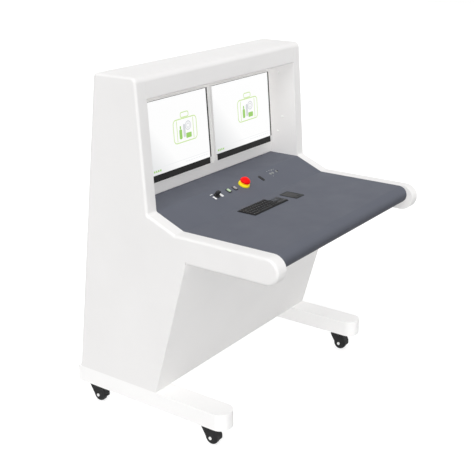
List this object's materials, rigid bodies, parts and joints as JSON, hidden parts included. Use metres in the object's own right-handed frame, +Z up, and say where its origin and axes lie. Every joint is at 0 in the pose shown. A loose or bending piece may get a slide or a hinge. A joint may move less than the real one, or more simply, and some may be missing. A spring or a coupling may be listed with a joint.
{
  "type": "operator console of a baggage x-ray scanner",
  "caption": "White sheet-metal operator console on castors: monitors recessed between cheeks over a blue-grey desk with keyboard, key switch and emergency stop.",
  "frame": {"origin": "on the floor, under the centre of the console's overall box", "axes": "+X to the operator's right, +Y to the back of the console, +Z up"},
  "size_m": [1, 0.888, 1.267],
  "materials": {
    "shell_white": "white powder coat, fine texture",
    "knee_white": "white powder coat, fine texture",
    "desk_grey": "blue-grey powder coat, satin",
    "zinc_steel": "zinc plated",
    "castor_nylon": "moulded black nylon",
    "castor_tread": "black tread",
    "axle_cap": "white cap",
    "monitor_black": "black moulded case",
    "display": "lit display behind clear cover",
    "key_mat_rubber": "moulded silicone",
    "key_plastic": "black moulded plastic",
    "pad_plastic": "dark grey moulded plastic",
    "stop_yellow": "yellow collar",
    "stop_red": "red mushroom",
    "lamp_cap": "pale translucent cap",
    "computer_black": "black sheet case",
    "inlet_black": "black moulded inlet"
  },
  "bodies": {
    "console": {"side_shell_left": "shell_white", "side_shell_right": "shell_white", "cheek_liner_left": "shell_white", "cheek_liner_right": "shell_white", "top_cover": "shell_white", "monitor_panel": "shell_white", "desk_top": "desk_grey", "knee_panel": "knee_white", "bottom_pan": "knee_white", "rear_frame": "shell_white", "hinge_frame_leaves": "zinc_steel", "foot_left": "shell_white", "foot_right": "shell_white", "castor_stem_front_left": "zinc_steel", "castor_stem_front_right": "zinc_steel", "castor_stem_rear_left": "zinc_steel", "castor_stem_rear_right": "zinc_steel", "monitor_case_left": "monitor_black", "monitor_case_right": "monitor_black", "monitor_glass_left": "display", "monitor_glass_right": "display", "monitor_bracket_left": "zinc_steel", "monitor_bracket_right": "zinc_steel", "keyboard_mat": "key_mat_rubber", "touch_pad": "pad_plastic", "emergency_stop_base": "stop_yellow", "key_switch_body": "key_plastic", "button_bezels": "key_plastic", "service_port": "key_plastic", "status_lamps": "lamp_cap", "computer": "computer_black", "power_unit": "zinc_steel", "power_inlet": "inlet_black"},
    "rear_door": {"rear_door": "shell_white"},
    "door_latch": {"door_latch": "zinc_steel"},
    "castor_fork_front_left": {"castor_fork_front_left": "castor_nylon", "castor_axle_front_left": "axle_cap"},
    "castor_wheel_front_left": {"castor_wheel_front_left": "castor_tread"},
    "castor_fork_front_right": {"castor_fork_front_right": "castor_nylon", "castor_axle_front_right": "axle_cap"},
    "castor_wheel_front_right": {"castor_wheel_front_right": "castor_tread"},
    "castor_fork_rear_left": {"castor_fork_rear_left": "castor_nylon", "castor_axle_rear_left": "axle_cap"},
    "castor_wheel_rear_left": {"castor_wheel_rear_left": "castor_tread"},
    "castor_fork_rear_right": {"castor_fork_rear_right": "castor_nylon", "castor_axle_rear_right": "axle_cap"},
    "castor_wheel_rear_right": {"castor_wheel_rear_right": "castor_tread"},
    "emergency_stop_plunger": {"emergency_stop_plunger": "zinc_steel"},
    "emergency_stop_button": {"emergency_stop_button": "stop_red"},
    "key_switch_key": {"key_switch_key": "key_plastic"},
    "push_button_left": {"push_button_left": "lamp_cap"},
    "push_button_right": {"push_button_right": "lamp_cap"},
    "belt_key_1": {"belt_key_1": "key_plastic"},
    "belt_key_2": {"belt_key_2": "key_plastic"},
    "belt_key_3": {"belt_key_3": "key_plastic"},
    "belt_key_4": {"belt_key_4": "key_plastic"},
    "belt_key_5": {"belt_key_5": "key_plastic"},
    "belt_key_6": {"belt_key_6": "key_plastic"},
    "touch_button_left": {"touch_button_left": "pad_plastic"},
    "touch_button_right": {"touch_button_right": "pad_plastic"}
  },
  "joints": [
    {"name": "rear_door_hinge", "type": "hinge", "parent": "console", "child": "rear_door", "pos_m": [-0.4147, 0.3641, 0.72585], "axis": [0, -0.1268, 0.9919], "range_deg": [0, 110]},
    {"name": "door_latch_turn", "type": "hinge", "parent": "rear_door", "child": "door_latch", "pos_m": [0.3757, 0.35825, 0.7251], "axis": [0, 0.9919, 0.1268], "range_deg": [0, 90]},
    {"name": "castor_swivel_front_left", "type": "hinge", "parent": "console", "child": "castor_fork_front_left", "pos_m": [-0.456, -0.131, 0.075], "axis": [0, 0, 1], "continuous": true},
    {"name": "castor_roll_front_left", "type": "hinge", "parent": "castor_fork_front_left", "child": "castor_wheel_front_left", "pos_m": [-0.456, -0.155, 0.026], "axis": [1, 0, 0], "continuous": true},
    {"name": "castor_swivel_front_right", "type": "hinge", "parent": "console", "child": "castor_fork_front_right", "pos_m": [0.456, -0.131, 0.075], "axis": [0, 0, 1], "continuous": true},
    {"name": "castor_roll_front_right", "type": "hinge", "parent": "castor_fork_front_right", "child": "castor_wheel_front_right", "pos_m": [0.456, -0.155, 0.026], "axis": [1, 0, 0], "continuous": true},
    {"name": "castor_swivel_rear_left", "type": "hinge", "parent": "console", "child": "castor_fork_rear_left", "pos_m": [-0.456, 0.401, 0.075], "axis": [0, 0, 1], "continuous": true},
    {"name": "castor_roll_rear_left", "type": "hinge", "parent": "castor_fork_rear_left", "child": "castor_wheel_rear_left", "pos_m": [-0.456, 0.377, 0.026], "axis": [1, 0, 0], "continuous": true},
    {"name": "castor_swivel_rear_right", "type": "hinge", "parent": "console", "child": "castor_fork_rear_right", "pos_m": [0.456, 0.401, 0.075], "axis": [0, 0, 1], "continuous": true},
    {"name": "castor_roll_rear_right", "type": "hinge", "parent": "castor_fork_rear_right", "child": "castor_wheel_rear_right", "pos_m": [0.456, 0.377, 0.026], "axis": [1, 0, 0], "continuous": true},
    {"name": "emergency_stop_press", "type": "slide", "parent": "console", "child": "emergency_stop_plunger", "axis": [0, 0.3852, -0.9228], "range_m": [0, 0.005]},
    {"name": "emergency_stop_twist", "type": "hinge", "parent": "emergency_stop_plunger", "child": "emergency_stop_button", "pos_m": [0.02, 0.03735, 0.81662], "axis": [0, 0.3852, -0.9228], "range_deg": [0, 30], "stiffness_Nm_per_rad": 0.05, "springref_deg": -5.73},
    {"name": "key_switch_turn", "type": "hinge", "parent": "console", "child": "key_switch_key", "pos_m": [-0.15, 0.04506, 0.79817], "axis": [0, 0.3852, -0.9228], "range_deg": [-45, 45]},
    {"name": "push_button_left_press", "type": "slide", "parent": "console", "child": "push_button_left", "axis": [0, 0.3852, -0.9228], "range_m": [0, 0.003], "stiffness_N_per_m": 400, "springref_m": -0.002},
    {"name": "push_button_right_press", "type": "slide", "parent": "console", "child": "push_button_right", "axis": [0, 0.3852, -0.9228], "range_m": [0, 0.003], "stiffness_N_per_m": 400, "springref_m": -0.002},
    {"name": "belt_key_1_press", "type": "slide", "parent": "console", "child": "belt_key_1", "axis": [0, 0, -1], "range_m": [0, 0.0025], "stiffness_N_per_m": 300, "springref_m": -0.002},
    {"name": "belt_key_2_press", "type": "slide", "parent": "console", "child": "belt_key_2", "axis": [0, 0, -1], "range_m": [0, 0.0025], "stiffness_N_per_m": 300, "springref_m": -0.002},
    {"name": "belt_key_3_press", "type": "slide", "parent": "console", "child": "belt_key_3", "axis": [0, 0, -1], "range_m": [0, 0.0025], "stiffness_N_per_m": 300, "springref_m": -0.002},
    {"name": "belt_key_4_press", "type": "slide", "parent": "console", "child": "belt_key_4", "axis": [0, 0, -1], "range_m": [0, 0.0025], "stiffness_N_per_m": 300, "springref_m": -0.002},
    {"name": "belt_key_5_press", "type": "slide", "parent": "console", "child": "belt_key_5", "axis": [0, 0, -1], "range_m": [0, 0.0025], "stiffness_N_per_m": 300, "springref_m": -0.002},
    {"name": "belt_key_6_press", "type": "slide", "parent": "console", "child": "belt_key_6", "axis": [0, 0, -1], "range_m": [0, 0.0025], "stiffness_N_per_m": 300, "springref_m": -0.002},
    {"name": "touch_button_left_press", "type": "slide", "parent": "console", "child": "touch_button_left", "axis": [0, 0, -1], "range_m": [0, 0.001], "stiffness_N_per_m": 600, "springref_m": -0.001},
    {"name": "touch_button_right_press", "type": "slide", "parent": "console", "child": "touch_button_right", "axis": [0, 0, -1], "range_m": [0, 0.001], "stiffness_N_per_m": 600, "springref_m": -0.001}
  ]
}
